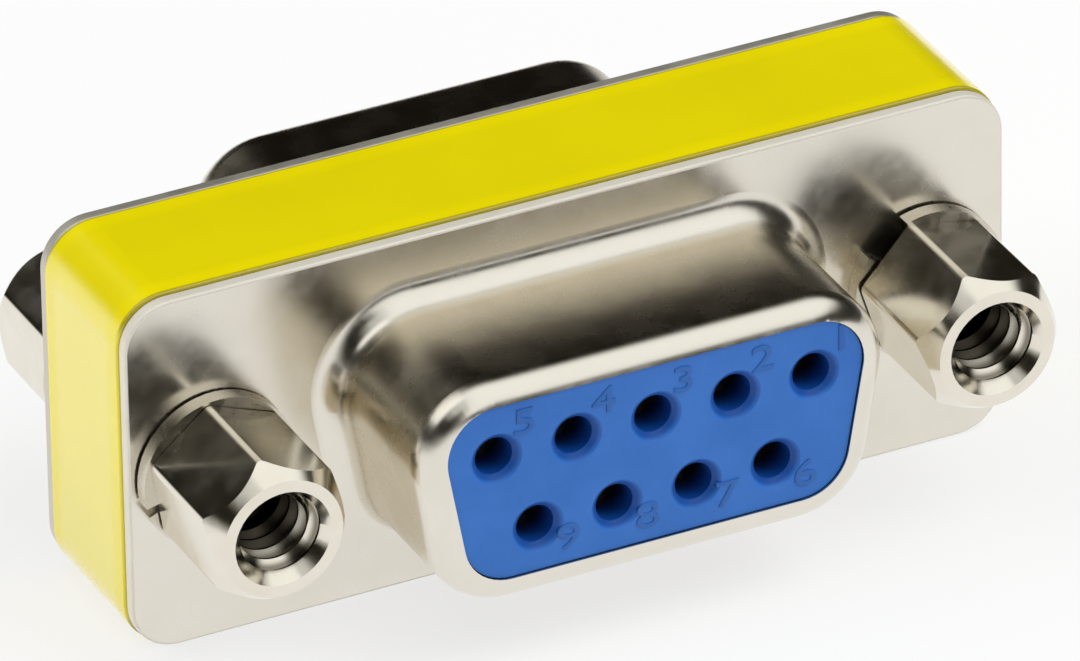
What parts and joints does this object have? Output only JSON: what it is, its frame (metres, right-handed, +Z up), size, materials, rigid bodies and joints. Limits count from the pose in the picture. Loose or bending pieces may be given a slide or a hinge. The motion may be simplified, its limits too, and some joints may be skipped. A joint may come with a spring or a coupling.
{
  "type": "d-sub adapter",
  "caption": "D-sub socket-to-socket adapter: plastic spacer between two plated shells, moulded contact blocks, hexagonal jack sockets at both ends.",
  "frame": {"origin": "the middle of the adapter, halfway between the two flanges and on the line between the two screw centres", "axes": "+X along the long side, with contact 1 on the +X side; -Y out of the front socket, +Y out of the rear socket; +Z up, towards the wide side of the front D"},
  "size_m": [0.031, 0.0186, 0.0126],
  "materials": {
    "yellow_plastic": "moulded, low gloss",
    "blue_plastic": "moulded, matt",
    "plated_shell": "bright nickel plate on drawn sheet steel",
    "plated_screw": "bright nickel plate on turned steel",
    "contact_brass": "plated, smooth",
    "bush_brass": "turned"
  },
  "bodies": {
    "root": {"body": "yellow_plastic", "front_shell": "plated_shell", "rear_shell": "plated_shell", "front_insulator": "blue_plastic", "rear_insulator": "blue_plastic", "contact_1": "contact_brass", "contact_2": "contact_brass", "contact_3": "contact_brass", "contact_4": "contact_brass", "contact_5": "contact_brass", "contact_6": "contact_brass", "contact_7": "contact_brass", "contact_8": "contact_brass", "contact_9": "contact_brass", "jack_socket_front_left": "plated_screw", "jack_socket_front_right": "plated_screw", "jack_socket_rear_left": "plated_screw", "jack_socket_rear_right": "plated_screw", "lock_washer_front_left": "plated_screw", "lock_washer_front_right": "plated_screw", "lock_washer_rear_left": "plated_screw", "lock_washer_rear_right": "plated_screw", "threaded_bush_left": "bush_brass", "threaded_bush_right": "bush_brass"}
  },
  "joints": []
}
